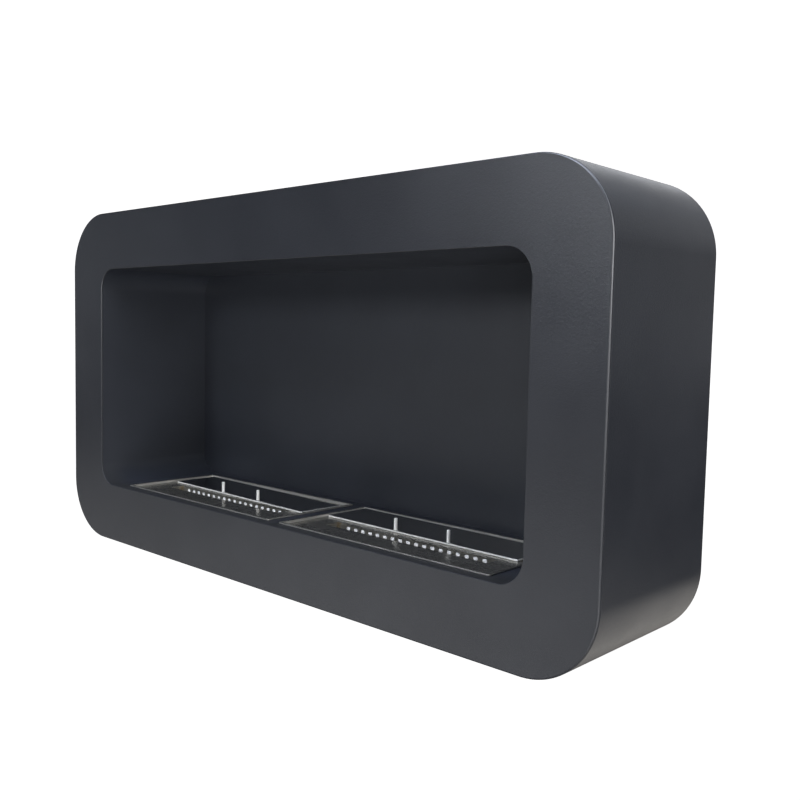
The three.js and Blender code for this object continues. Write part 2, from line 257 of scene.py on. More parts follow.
# ------------------------------------------------------------------ materials
class Build:
    """Small helper for node materials."""

    def __init__(self, name):
        self.m = bpy.data.materials.new(name)
        self.m.use_nodes = True
        self.nt = self.m.node_tree
        self.b = next(n for n in self.nt.nodes if n.type == "BSDF_PRINCIPLED")
        self.co = self.n("ShaderNodeTexCoord").outputs["Object"]

    def n(self, kind, **props):
        node = self.nt.nodes.new(kind)
        for k, v in props.items():
            setattr(node, k, v)
        return node

    def link(self, a, b):
        self.nt.links.new(a, b)

    def put(self, **values):
        for k, v in values.items():
            self.b.inputs[k.replace("_", " ")].default_value = v

    def mapped(self, scale, rotation=(0, 0, 0), source=None):
        mp = self.n("ShaderNodeMapping")
        mp.inputs["Scale"].default_value = scale
        mp.inputs["Rotation"].default_value = rotation
        self.link(source or self.co, mp.inputs["Vector"])
        return mp.outputs["Vector"]

    def noise(self, scale, detail=2.0, rough=0.5, distortion=0.0, vector=None, lac=2.0):
        t = self.n("ShaderNodeTexNoise")
        t.inputs["Scale"].default_value = scale
        t.inputs["Detail"].default_value = detail
        t.inputs["Roughness"].default_value = rough
        t.inputs["Lacunarity"].default_value = lac
        t.inputs["Distortion"].default_value = distortion
        self.link(vector or self.co, t.inputs["Vector"])
        return t.outputs["Fac"]

    def voronoi(self, scale, feature="F1", vector=None):
        t = self.n("ShaderNodeTexVoronoi")
        t.feature = feature
        t.inputs["Scale"].default_value = scale
        self.link(vector or self.co, t.inputs["Vector"])
        return t

    def math(self, op, a, b=None, clamp=False):
        t = self.n("ShaderNodeMath", operation=op, use_clamp=clamp)
        for i, v in enumerate((a, b)):
            if v is None:
                continue
            if isinstance(v, (int, float)):
                t.inputs[i].default_value = v
            else:
                self.link(v, t.inputs[i])
        return t.outputs[0]

    def range(self, v, a, b, c, d, smooth=False):
        t = self.n("ShaderNodeMapRange")
        if smooth:
            t.interpolation_type = "SMOOTHSTEP"
        for k, x in (("From Min", a), ("From Max", b), ("To Min", c), ("To Max", d)):
            t.inputs[k].default_value = x
        self.link(v, t.inputs["Value"])
        return t.outputs["Result"]

    def ramp(self, v, stops):
        t = self.n("ShaderNodeValToRGB")
        e = t.color_ramp.elements
        while len(e) > 1:
            e.remove(e[-1])
        e[0].position, e[0].color = stops[0][0], (*stops[0][1], 1.0)
        for p, c in stops[1:]:
            x = e.new(p)
            x.color = (*c, 1.0)
        self.link(v, t.inputs["Fac"])
        return t.outputs["Color"]

    def mix(self, fac, a, b, blend="MIX"):
        t = self.n("ShaderNodeMix", data_type="RGBA", blend_type=blend)
        ins = [s for s in t.inputs if s.enabled]
        for s, v in zip((t.inputs["Factor"], ins[1], ins[2]), (fac, a, b)):
            if isinstance(v, (int, float)):
                s.default_value = v
            elif isinstance(v, tuple):
                s.default_value = (*v, 1.0)
            else:
                self.link(v, s)
        return next(s for s in t.outputs if s.enabled)

    def bump(self, height, strength, distance, normal=None):
        t = self.n("ShaderNodeBump")
        t.inputs["Strength"].default_value = strength
        t.inputs["Distance"].default_value = distance
        self.link(height, t.inputs["Height"])
        if normal is not None:
            self.link(normal, t.inputs["Normal"])
        return t.outputs["Normal"]

    def xyz(self):
        t = self.n("ShaderNodeSeparateXYZ")
        self.link(self.co, t.inputs[0])
        return t.outputs[0], t.outputs[1], t.outputs[2]

    def facing(self):
        t = self.n("ShaderNodeNewGeometry")
        x = self.n("ShaderNodeSeparateXYZ")
        self.link(t.outputs["Normal"], x.inputs[0])
        return x.outputs[0], x.outputs[1], x.outputs[2]

    def bend_y(self):
        """1 where the surface turns away from the front and back, 0 on the flats."""
        y = self.math("ABSOLUTE", self.facing()[1])
        return self.math("MULTIPLY", self.range(y, 0.93, 0.99, 1.0, 0.0), self.range(y, 0.02, 0.12, 0.0, 1.0))

    def not_up(self, lo=0.45, hi=0.90):
        """1 on walls and bends, 0 on surfaces that face up."""
        return self.range(self.facing()[2], lo, hi, 1.0, 0.0, smooth=True)

    def spot(self, cx, cy, rx, ry):
        """1 at a point in plan, falling to 0 at the radii, in metres."""
        x, y, _ = self.xyz()
        dx = self.math("DIVIDE", self.math("SUBTRACT", x, cx), rx)
        dy = self.math("DIVIDE", self.math("SUBTRACT", y, cy), ry)
        d = self.math("SQRT", self.math("ADD", self.math("MULTIPLY", dx, dx), self.math("MULTIPLY", dy, dy)))
        return self.range(d, 0.0, 1.0, 1.0, 0.0, smooth=True)


def powder(name, dark, light, rough, grain=1.0, rim_highlight_paint=False, floor_shade_paint=False):
    """Fine-textured satin powder coat: a soft orange peel with a fine grain in it.

    With the rim switch a lighter, metallic base colour on the rounded rim paints a highlight that fades towards the
    bottom; with the floor switch a darker base colour on the firebox floor in front of the burners paints shade."""
    s = Build(name)
    cloud = s.noise(7.0, 3.0, 0.55)
    fleck = s.noise(850.0, 3.0, 0.65)
    tone = s.math("ADD", s.math("MULTIPLY", cloud, 0.62), s.math("MULTIPLY", fleck, 0.38))
    base = s.ramp(tone, ((0.36, dark), (0.64, light)))
    smear = s.noise(22.0, 4.0, 0.6, 0.4)
    gloss = s.range(s.math("ADD", s.math("MULTIPLY", smear, 0.75), s.math("MULTIPLY", fleck, 0.25)), 0.3, 0.7, rough - 0.035, rough + 0.035)
    peel = s.noise(520.0, 2.0, 0.5)
    grit = s.noise(950.0, 4.0, 0.7)
    n1 = s.bump(peel, 0.20 * grain, 0.0006)
    s.link(s.bump(grit, 0.42 * grain, 0.00035, n1), s.b.inputs["Normal"])
    s.put(Metallic=0.0, IOR=1.5)
    if rim_highlight_paint:
        # Painted highlight on the rounded rim: towards the top the base colour is lightened and made metallic so the
        # edge shines brighter, and lower down the rim is made rougher so it shines less.
        high = s.range(s.xyz()[2], -0.08, 0.20, 0.0, 1.0, smooth=True)
        bend = s.bend_y()
        rim_highlight = s.math("MULTIPLY", bend, high)
        gloss = s.math("ADD", gloss, s.math("MULTIPLY", s.math("SUBTRACT", bend, rim_highlight), 0.22))
        base = s.mix(rim_highlight, base, (0.105, 0.107, 0.112))
        s.link(rim_highlight, s.b.inputs["Metallic"])
    if floor_shade_paint:
        # Painted shade: the floor strip in front of the burners gets a darker base colour and more roughness.
        _, y, z = s.xyz()
        floor = s.math("MULTIPLY", s.range(z, -0.118, -0.1525, 0.0, 1.0, smooth=True), s.range(y, -0.150, -0.186, 0.0, 1.0, smooth=True))
        floor_shade = s.math("MULTIPLY", floor, s.range(smear, 0.35, 0.55, 0.75, 1.0), clamp=True)
        base = s.mix(floor_shade, base, (0.0105, 0.0110, 0.0122))
        gloss = s.math("ADD", gloss, s.math("MULTIPLY", floor_shade, 0.24))
    s.link(base, s.b.inputs["Base Color"])
    s.link(gloss, s.b.inputs["Roughness"])
    return s.m


COAT = powder("powder_coat_satin", (0.0140, 0.0152, 0.0190), (0.0205, 0.0220, 0.0265), 0.32, 1.0)
# The panel's rounded rim carries a painted highlight.
PANEL = powder("powder_coat_panel", (0.0140, 0.0152, 0.0190), (0.0205, 0.0220, 0.0265), 0.32, 1.0, True)
# The firebox floor in front of the burners carries painted shade.
INNER = powder("firebox_coat_matt", (0.0162, 0.0184, 0.0245), (0.0225, 0.0252, 0.0330), 0.44, 0.8, floor_shade_paint=True)
REAR = powder("rear_cover_coat", (0.0150, 0.0158, 0.0190), (0.0210, 0.0218, 0.0255), 0.50)


def steel(name, tint, rough, brush=1.0, aniso=0.55, tinted=None, along="X", metallic=1.0, bends=None, wavy=0.10):
    """Brushed stainless sheet, the brush lines along X. tinted is (x, y, rx, ry) of a heat mark, in metres."""
    s = Build(name)
    stretch = (14.0, 2600.0, 2600.0) if along == "X" else (2600.0, 14.0, 2600.0)
    lines = s.noise(1.0, 5.0, 0.65, 0.0, s.mapped(stretch))
    broad = s.noise(1.0, 3.0, 0.5, 0.0, s.mapped((5.0, 420.0, 420.0) if along == "X" else (420.0, 5.0, 420.0)))
    stain = s.noise(26.0, 4.0, 0.6, 0.6)
    speckle = s.noise(700.0, 3.0, 0.7)
    lo = tuple(c * 0.80 for c in tint)
    base = s.ramp(s.math("ADD", s.math("MULTIPLY", s.math("ADD", lines, speckle), 0.32), s.math("MULTIPLY", broad, 0.36)), ((0.34, lo), (0.66, tint)))
    base = s.mix(s.range(stain, 0.50, 0.72, 0.0, 0.35), base, tuple(c * 0.80 for c in tint))
    r = s.math("ADD", s.range(lines, 0.3, 0.7, rough - 0.045, rough + 0.045), s.range(stain, 0.45, 0.75, 0.0, 0.07))
    if tinted:
        mask = s.spot(*tinted)
        ragged = s.noise(480.0, 4.0, 0.7, 0.8)
        level = s.math("MULTIPLY", mask, s.range(ragged, 0.40, 0.62, 0.0, 1.3), clamp=True)
        heat = s.ramp(level, ((0.0, tint), (0.30, (0.42, 0.36, 0.25)), (0.60, (0.36, 0.27, 0.14)), (1.0, (0.14, 0.10, 0.07))))
        base = s.mix(s.range(level, 0.05, 0.55, 0.0, 0.85, smooth=True), base, heat)
        r = s.math("ADD", r, s.math("MULTIPLY", level, 0.12))
    if bends:
        # Painted sheen: walls and bends above the recess floor get the pale colour and less metallic, which lights up
        # the rims and lip edges; their roughness is raised too.
        pale, sheen_metallic, above = bends
        m = s.math("MULTIPLY", s.not_up(), s.range(s.xyz()[2], above - 0.0001, above + 0.0003, 0.0, 1.0))
        base = s.mix(m, base, pale)
        s.link(s.range(m, 0.0, 1.0, metallic, sheen_metallic), s.b.inputs["Metallic"])
        r = s.math("ADD", r, s.math("MULTIPLY", m, 0.10))
    s.link(base, s.b.inputs["Base Color"])
    s.link(r, s.b.inputs["Roughness"])
    warp = s.noise(30.0, 1.0, 0.4)
    n1 = s.bump(warp, wavy, 0.0012)
    s.link(s.bump(lines, 0.10 * brush, 0.00008, n1), s.b.inputs["Normal"])
    s.put(Anisotropic=aniso, **({} if bends else {"Metallic": metallic}))
    t = s.n("ShaderNodeTangent", direction_type="UV_MAP", uv_map="UVMap")
    s.link(t.outputs[0], s.b.inputs["Tangent"])
    return s.m


STEEL = (0.445, 0.430, 0.385)
# The pale colour for walls and bends paints a sheen on the tray rims; the heat mark is the steel's own tint.
TRAY = {
    side: steel(f"burner_steel_{side}", STEEL, 0.26, 1.0, 0.5, ((k * BURNER_X - 119.0) * MM, (BURNER_Y - 8.5) * MM, 0.006 if k < 0 else 0.009, 0.005 if k < 0 else 0.008), metallic=0.945, bends=((0.56, 0.55, 0.51), 0.78, (FLOOR_Z + REC_Z) * MM), wavy=0.03)
    for side, k in SIDES
}
CHANNEL = {
    side: steel(f"channel_steel_{side}", (0.40, 0.385, 0.345), 0.42, 1.0, 0.3, ((k * BURNER_X - 119.0) * MM, (BURNER_Y - 8.5) * MM, 0.006, 0.006), metallic=0.94)
    for side, k in SIDES
}
TANK = steel("tank_steel", (0.50, 0.50, 0.48), 0.32, 1.0, 0.5)
# The pale colour for walls and bends paints a highlight on the lid's front lip.
LID = steel("lid_steel", (0.62, 0.61, 0.58), 0.15, 0.5, 0.35, bends=((0.86, 0.84, 0.79), 0.40, (FLOOR_Z + REC_Z) * MM), wavy=0.05)


def pin_steel():
    s = Build("pin_steel")
    rings = s.noise(1.0, 3.0, 0.5, 0.0, s.mapped((60.0, 60.0, 2400.0)))
    # Painted reflection: the near-white base with little metallic stands in for the bright reflection of polished
    # steel; the turned rings are the pin's own.
    s.link(s.ramp(rings, ((0.3, (0.96, 0.95, 0.91)), (0.7, (0.99, 0.98, 0.94)))), s.b.inputs["Base Color"])
    s.link(s.range(rings, 0.3, 0.7, 0.30, 0.40), s.b.inputs["Roughness"])
    s.link(s.bump(rings, 0.12, 0.00006), s.b.inputs["Normal"])
    s.put(Metallic=0.22)
    return s.m


def fibre():
    s = Build("ceramic_fibre")
    clump = s.noise(260.0, 4.0, 0.6, 0.8)
    strand_a = s.noise(1.0, 4.0, 0.6, 0.6, s.mapped((350.0, 3800.0, 3800.0), (0.2, 0.1, 0.35)))
    strand_b = s.noise(1.0, 4.0, 0.6, 0.6, s.mapped((3800.0, 350.0, 3000.0), (0.3, 0.2, 0.5)))
    strands = s.math("MAXIMUM", strand_a, strand_b)
    s.link(s.ramp(s.math("ADD", s.math("MULTIPLY", clump, 0.5), s.math("MULTIPLY", strands, 0.5)), ((0.30, (0.93, 0.915, 0.88)), (0.60, (0.985, 0.975, 0.945)))), s.b.inputs["Base Color"])
    s.link(s.range(clump, 0.3, 0.7, 0.85, 1.0), s.b.inputs["Roughness"])
    n1 = s.bump(clump, 0.45, 0.0012)
    s.link(s.bump(strands, 0.6, 0.0005, n1), s.b.inputs["Normal"])
    s.put(Metallic=0.0)
    return s.m


def zinc(name="zinc_steel"):
    s = Build(name)
    spangle = s.voronoi(160.0, vector=s.mapped((1.0, 1.0, 1.0)))
    streak = s.noise(40.0, 4.0, 0.6, 0.5)
    s.link(s.mix(s.range(streak, 0.35, 0.7, 0.0, 0.5), s.ramp(spangle.outputs["Distance"], ((0.0, (0.52, 0.54, 0.56)), (0.7, (0.66, 0.675, 0.69)))), (0.44, 0.45, 0.46)), s.b.inputs["Base Color"])
    s.link(s.range(spangle.outputs["Distance"], 0.0, 0.8, 0.34, 0.50), s.b.inputs["Roughness"])
    s.link(s.bump(s.noise(900.0, 3.0, 0.6), 0.12, 0.0001), s.b.inputs["Normal"])
    s.put(Metallic=1.0)
    return s.m


def black_screw():
    s = Build("screw_steel")
    t = s.noise(700.0, 3.0, 0.6)
    s.link(s.ramp(t, ((0.3, (0.045, 0.046, 0.05)), (0.7, (0.075, 0.076, 0.08)))), s.b.inputs["Base Color"])
    s.link(s.range(t, 0.3, 0.7, 0.30, 0.42), s.b.inputs["Roughness"])
    s.link(s.bump(t, 0.2, 0.0001), s.b.inputs["Normal"])
    s.put(Metallic=0.8)
    return s.m


PIN = pin_steel()
WOOL = fibre()
ZINC = zinc()
SCREW = black_screw()

# ------------------------------------------------------------------ casing
SEG = 40


def ring_xz(d, y, w=W, h=H, r=R, cz=0.0, n=SEG):
    """Loop in the wall plane, d in from the outline."""
    return wall_loop(outline(w - 2 * d, h - 2 * d, r - d, n, 0.0, cz), y)


def front_panel():
    e, o = 1.9, 0.8
    loops = [ring_xz(e * (1 - math.sin(a)), YF + e * (1 - math.cos(a))) for a in arc(10, 0, 90)]
    loops += [ring_xz(0.1, YF + PANEL_T)]
    hole = lambda d, y: ring_xz(-d, y, OPEN_W, OPEN_H, OPEN_R, OPEN_ZC)
    loops += [hole(0.3, YF + PANEL_T), hole(0.0, YF + PANEL_T - 0.3)]
    loops += [hole(o * (1 - math.sin(a)), YF + o * (1 - math.cos(a))) for a in arc(5, 90, 0)]
    return loft("front_panel_sheet", loops)


def outer_wrap():
    e = 0.45
    y0 = YF + PANEL_T + GAP
    # the front end steps in under the panel and leaves a shadow joint
    loops = [ring_xz(0.8, y0), ring_xz(0.8, y0 + 0.6), ring_xz(0.15, y0 + 0.6), ring_xz(0.0, y0 + 0.75), ring_xz(0.0, -e)]
    loops += [ring_xz(e * (1 - math.cos(a)), -e + e * math.sin(a)) for a in arc(4, 0, 90)][1:]
    loops += [ring_xz(SHEET - e + e * math.sin(a), -e + e * math.cos(a)) for a in arc(4, 0, 90)]
    loops += [ring_xz(SHEET, y0)]
    return loft("outer_wrap_sheet", loops)


finish(front_panel(), "casing", PANEL, ["front_panel"], 50)
finish(outer_wrap(), "casing", COAT, ["outer_wrap"], 50)


def firebox_liner():
    e = 0.35
    y0, y1 = YF + PANEL_T + GAP, BACK_Y
    inner = lambda d, y: ring_xz(-d, y, LINER_W, LINER_H, LINER_R, OPEN_ZC, 28)
    loops = [inner(e, y0), inner(0.1, y0 + 0.1), inner(0.0, y0 + e), inner(0.0, y1), inner(SHEET, y1), inner(SHEET, y0 + 0.2), inner(SHEET - 0.2, y0)]
    ob = loft("firebox_liner_sheet", loops)
    for _, k in SIDES:
        pts = outline(308.6, 140.1, 3.0, 8, k * BURNER_X, BURNER_Y)
        carve(ob, loft("cutter", [flat_loop(pts, FLOOR_Z - 6), flat_loop(pts, FLOOR_Z + 6)], closed=False))
    return ob


finish(firebox_liner(), "casing", INNER, ["firebox_liner"], 30)


# ------------------------------------------------------------------ rear
def keyhole(cx, cz, re, rs, rise, grow=0.0):
    re, rs = re + grow, rs + grow
    a = math.asin(rs / re)
    pts = [(cx + rs, cz + re * math.cos(a))]
    pts += [(cx + rs * math.cos(t), cz + rise + rs * math.sin(t)) for t in arc(20, 0, 180)]
    t0, t1 = 90 + math.degrees(a), 450 - math.degrees(a)
    pts += [(cx + re * math.cos(t), cz + re * math.sin(t)) for t in arc(40, t0, t1)][:-1]
    return pts


def rear_cover():
    w, h, r = W - 2 * SHEET - 2 * GAP, H - 2 * SHEET - 2 * GAP, R - SHEET - GAP
    e = 0.4
    loops = [ring_xz(e * (1 - math.sin(a)), -e + e * math.cos(a), w, h, r) for a in arc(4, 0, 90)]
    loops += [ring_xz(0.0, -SHEET + 0.15, w, h, r), ring_xz(0.15, -SHEET, w, h, r)]
    ob = loft("rear_cover_sheet", loops, closed=False)
    for k in (-1, 1):
        steps = ((0.35, 1.0), (0.35, 0.0), (0.0, -0.35), (0.0, -SHEET - 1.0))
        loops = [wall_loop(keyhole(k * KEY_X, KEY_Z, KEY_R, KEY_SR, KEY_RISE, g), y) for g, y in steps]
        carve(ob, loft("cutter", loops, closed=False))
    for x, z in SCREWS:
        prof = [(0.0, 0.6), (3.8 + 0.6 * 1.067, 0.6), (3.8, 0.0), (2.2, -SHEET), (2.2, -SHEET - 1.0), (0.0, -SHEET - 1.0)]
        carve(ob, lathe("cutter", prof, 40, (x, 0.0, z), "Y"))
    return ob


finish(rear_cover(), "casing", REAR, ["rear_cover"], 25)


def cover_screw(i, x, z):
    """M4 countersunk screw with a hexagon socket, head towards the wall."""
    n = 48
    hexr = lambda a, af: (af / 2) / math.cos(((a + math.pi / 6) % (math.pi / 3)) - math.pi / 6)
    ang = [2 * math.pi * j / n for j in range(n)]
    loops = []

    def circle(r, y):
        loops.append([(x + r * math.cos(a), y, z + r * math.sin(a)) for a in ang])

    def hexagon(af, y):
        loops.append([(x + hexr(a, af) * math.cos(a), y, z + hexr(a, af) * math.sin(a)) for a in ang])

    hexagon(2.3, -1.25)
    hexagon(2.45, -1.1)
    hexagon(2.5, -0.22)
    hexagon(2.9, -0.04)
    circle(2.2, -0.04)
    circle(3.1, -0.04)
    circle(3.36, -0.08)
    circle(3.45, -0.20)
    circle(1.95, -1.75)
    y = -2.3
    while y > -7.2:
        circle(1.62, y)
        circle(1.90, y - 0.18)
        circle(1.90, y - 0.27)
        circle(1.62, y - 0.45)
        y -= 0.7
    circle(1.6, -7.4)
    circle(1.3, -8.0)
    return loft(f"cover_screw_{i}_machined", loops, closed=False)


for i, (x, z) in enumerate(SCREWS, 1):
    finish(cover_screw(i, x, z), "casing", SCREW, [f"cover_screw_{i}"], 30)


# ------------------------------------------------------------------ burners
def tray(side, k):
    n = 7
    ox, oy, oz = k * BURNER_X, BURNER_Y, FLOOR_Z
    sy, sd = (SLOT_Y0 + SLOT_Y1) / 2, SLOT_Y1 - SLOT_Y0

    def slot_ring(g, z):
        return [(x + ox, y + oy, z + oz) for x, y in outline(SLOT_L + 2 * g, sd + 2 * g, 0.8 + g, n, 0.0, sy)]

    def ring(w, d, r, g, z):
        return [(x + ox, y + oy, z + oz) for x, y in outline(w + 2 * g, d + 2 * g, r + g, n)]

    f, b, t, o = 0.55, 0.9, 0.55, 0.35
    loops = [slot_ring(0.0, PAN_UNDER)]
    loops += [slot_ring(f * (1 - math.cos(a)), REC_Z - f + f * math.sin(a)) for a in arc(5, 0, 90)]
    loops += [slot_ring(3.5, REC_Z)]
    loops += [ring(REC_W, REC_D, REC_R, -b + b * math.sin(a), REC_Z + b * (1 - math.cos(a))) for a in arc(5, 0, 90)]
    loops += [ring(REC_W, REC_D, REC_R, t * (1 - math.cos(a)), LIP_TOP - t + t * math.sin(a)) for a in arc(5, 0, 90)]
    loops += [ring(LIP_W, LIP_D, LIP_R, -o + o * math.sin(a), LIP_TOP - o + o * math.cos(a)) for a in arc(4, 0, 90)]
    loops += [ring(LIP_W, LIP_D, LIP_R, 0.0, LIP_UNDER + 0.15), ring(LIP_W, LIP_D, LIP_R, -0.15, LIP_UNDER)]
    loops += [ring(PAN_W, PAN_D, PAN_R, 0.25, LIP_UNDER), ring(PAN_W, PAN_D, PAN_R, 0.0, LIP_UNDER - 0.25)]
    loops += [ring(PAN_W, PAN_D, PAN_R, -1.3 * (1 - math.cos(a)), PAN_UNDER + 1.3 - 1.3 * math.sin(a)) for a in arc(4, 0, 90)]
    return loft(f"burner_tray_{side}_pressed", loops)


def tank(side, k):
    n = 7
    ox, oy, oz = k * BURNER_X, BURNER_Y, FLOOR_Z

    def ring(w, d, r, g, z):
        return [(x + ox, y + oy, z + oz) for x, y in outline(w + 2 * g, d + 2 * g, max(r + g, 0.3), n)]

    bo, bi, wall = 2.2, 1.0, 1.2
    top, bot = PAN_UNDER, TANK_BOTTOM
    loops = [ring(PAN_W, PAN_D, PAN_R, -bo * (1 - math.sin(a)), bot + bo * (1 - math.cos(a))) for a in arc(6, 0, 90)]
    # a shallow rolled bead under the tray stiffens the rim
    loops += [ring(PAN_W, PAN_D, PAN_R, 0.0, top - 9.2)]
    loops += [ring(PAN_W, PAN_D, PAN_R, -0.55 * math.sin(a), top - 9.2 + 3.2 * (i / 8)) for i, a in enumerate(arc(8, 0, 180))][1:]
    loops += [ring(PAN_W, PAN_D, PAN_R, 0.0, top - 0.15), ring(PAN_W, PAN_D, PAN_R, -0.15, top)]
    loops += [ring(PAN_W, PAN_D, PAN_R, -wall, top), ring(PAN_W, PAN_D, PAN_R, -wall, bot + wall + bi)]
    loops += [ring(PAN_W, PAN_D, PAN_R, -wall - bi * (1 - math.cos(a)), bot + wall + bi - bi * math.sin(a)) for a in arc(3, 0, 90)][1:]
    return loft(f"fuel_tank_{side}_folded", loops, closed=False)


def channel(side, k):
    ox, oy, oz = k * BURNER_X, BURNER_Y, FLOOR_Z
    sy, sd = (SLOT_Y0 + SLOT_Y1) / 2, SLOT_Y1 - SLOT_Y0

    def ring(g, z, r):
        return [(x + ox, y + oy, z + oz) for x, y in outline(SLOT_L + 2 * g, sd + 2 * g, r, 5, 0.0, sy)]

    t, bo, bi = 1.0, 1.6, 0.6
    loops = [ring(t - bo * (1 - math.sin(a)), CH_BOTTOM + bo * (1 - math.cos(a)), 0.5 + t) for a in arc(5, 0, 90)]
    loops += [ring(t, PAN_UNDER, 0.5 + t), ring(0.0, PAN_UNDER, 0.5), ring(0.0, CH_BOTTOM + t + bi, 0.5)]
    loops += [ring(-bi * (1 - math.cos(a)), CH_BOTTOM + t + bi - bi * math.sin(a), 0.5) for a in arc(3, 0, 90)][1:]
    ob = loft(f"burner_channel_{side}_perforated", loops, closed=False)
    verts, faces = [], []
    m = 28
    for i in range(HOLES):
        hx = (i - (HOLES - 1) / 2) * PITCH + ox
        base = len(verts)
        for y in (oy + SLOT_Y0 - 6, oy + SLOT_Y1 + 6):
            verts += [(hx + HOLE_R * math.cos(2 * math.pi * j / m), y, oz + HOLE_Z + HOLE_R * math.sin(2 * math.pi * j / m)) for j in range(m)]
        for j in range(m):
            q = (j + 1) % m
            faces.append((base + j, base + q, base + m + q, base + m + j))
        faces.append(tuple(base + j for j in range(m)))
        faces.append(tuple(base + m + j for j in range(m)))
    carve(ob, raw("cutter", verts, faces))
    return ob


def wool(side, k):
    """Fibre block packed round the channel, swelling a little into its holes."""
    ox, oy, oz = k * BURNER_X, BURNER_Y, FLOOR_Z
    nl, ns = 440, 20
    sy = (SLOT_Y0 + SLOT_Y1) / 2

    def rect(hw, y0, y1, z):
        pts = [(-hw + 2 * hw * i / nl, y0, z) for i in range(nl)]
        pts += [(hw, y0 + (y1 - y0) * i / ns, z) for i in range(ns)]
        pts += [(hw - 2 * hw * i / nl, y1, z) for i in range(nl)]
        pts += [(-hw, y1 - (y1 - y0) * i / ns, z) for i in range(ns)]
        return pts

    pocket = (121.3, SLOT_Y0 - 1.3, SLOT_Y1 + 1.3)
    outer = (151.2, -66.95, 66.95)
    z_top, z_bot, z_pocket = -4.7, -63.9, -33.3
    loops, kinds = [], []

    def add(kind, a, z):
        loops.append(rect(a[0], a[1], a[2], z))
        kinds.append(kind)

    def between(t):
        return tuple(p + (q - p) * t for p, q in zip(pocket, outer))

    add("fix", tuple((v * 0.99 if i == 0 else v + (0.6 if i == 2 else -0.6)) for i, v in enumerate((outer[0], outer[1] + 1.2, outer[2] - 1.2))), z_bot)
    for z in (-62.5, -56, -48, -40, -32, -24, -16, -9, -6.0):
        add("out", outer, z)
    for t in (0.985, 0.9, 0.75, 0.6, 0.45, 0.3, 0.2, 0.12, 0.06, 0.02):
        add("top", between(t), z_top)
    z = z_top - 0.5
    while z > -13.0:
        add("in", pocket, z)
        z -= 0.45
    for z in (-14.5, -17, -20, -24, -28, -32):
        add("in", pocket, z)
    add("fix", tuple((pocket[0] - 0.8, pocket[1] + 0.8, pocket[2] - 0.8)), z_pocket)
    out = []
    for lp, kind in zip(loops, kinds):
        row = []
        for x, y, z in lp:
            p = Vector((x, y, z))
            v = noise.noise(p * 0.22) * 0.5 + noise.noise(p * 0.7) * 0.3 + noise.noise(p * 1.9) * 0.2
            if kind == "out":
                s = 0.7 * v - 0.25
                if abs(x) > 151.0:
                    x += math.copysign(s, x)
                else:
                    y += math.copysign(s, y)
            elif kind == "top":
                z += 0.8 * v
            elif kind == "in":
                inward = 1.0 if y < sy else -1.0
                if abs(x) < 121.0 and abs(z - HOLE_Z) < 3.2:
                    c = round(x / PITCH + (HOLES - 1) / 2)
                    hx = (c - (HOLES - 1) / 2) * PITCH
                    q = ((x - hx) ** 2 + (z - HOLE_Z) ** 2) / 3.1**2
                    if 0 <= c < HOLES and q < 1.0:
                        y += inward * (1.34 + 0.12 * v) * (1 - q) ** 0.16
                if abs(x) < 121.2 and not abs(z - HOLE_Z) < 3.2:
                    y += inward * (0.12 * v)
            row.append((x + ox, y + oy, z + oz))
        out.append(row)
    return loft(f"ceramic_wool_{side}_fibre", out, closed=False)


def lie(side, k, x, y, z):
    """A point of a lid, from its centre, where the loose lid lies in its tray."""
    dx, dy, turn = LID_LIE[side]
    c, s = math.cos(math.radians(turn)), math.sin(math.radians(turn))
    return (k * BURNER_X + dx + x * c - y * s, BURNER_Y + dy + x * s + y * c, FLOOR_Z + z)


def lid(side, k):
    """Flat plate with bent-down lips at the front and both sides, open at the rear."""
    a, b, t, ro = LID_W / 2, LID_D / 2, LID_T, 2.0
    zl = REC_Z + 0.3

    def ring(g, gr, z):
        """g in at the front and sides, gr in at the rear."""
        pts = []
        for sx, sy, r in ((1, -1, 1.0), (1, 1, 0.3), (-1, 1, 0.3), (-1, -1, 1.0)):
            ax = sx * (a - g - r)
            ay = (b - gr - r) if sy > 0 else -(b - g - r)
            k0 = {(1, -1): -90, (1, 1): 0, (-1, 1): 90, (-1, -1): 180}[(sx, sy)]
            pts += [(ax + r * math.cos(v), ay + r * math.sin(v)) for v in arc(6, k0, k0 + 90)]
        return [(x, y, z) for x, y in pts]

    loops = [ring(0.2, 0.0, zl), ring(0.0, 0.0, zl + 0.2)]
    loops += [ring(ro * (1 - math.cos(v)), 0.25 * (1 - math.cos(v)), LID_TOP - ro + ro * math.sin(v)) for v in arc(10, 0, 90)]
    ob = loft(f"slide_lid_{side}_folded", [[lie(side, k, *q) for q in lp] for lp in loops], closed=False)
    pocket = [ring(t + 0.25 * (1 - math.cos(v)), -2.0, LID_TOP - t - 0.25 + 0.25 * math.sin(v)) for v in arc(3, 0, 90)]
    pocket = [ring(t, -2.0, zl - 1.0)] + pocket
    carve(ob, loft("cutter", [[lie(side, k, *q) for q in lp] for lp in pocket], closed=False))
    for x in PIN_X:
        prof = [(0.0, -3.0), (1.8, -3.0), (1.8, 3.0), (0.0, 3.0)]
        carve(ob, lathe("cutter", prof, 32, lie(side, k, x, -b + PIN_IN, 0.0)))
    return ob


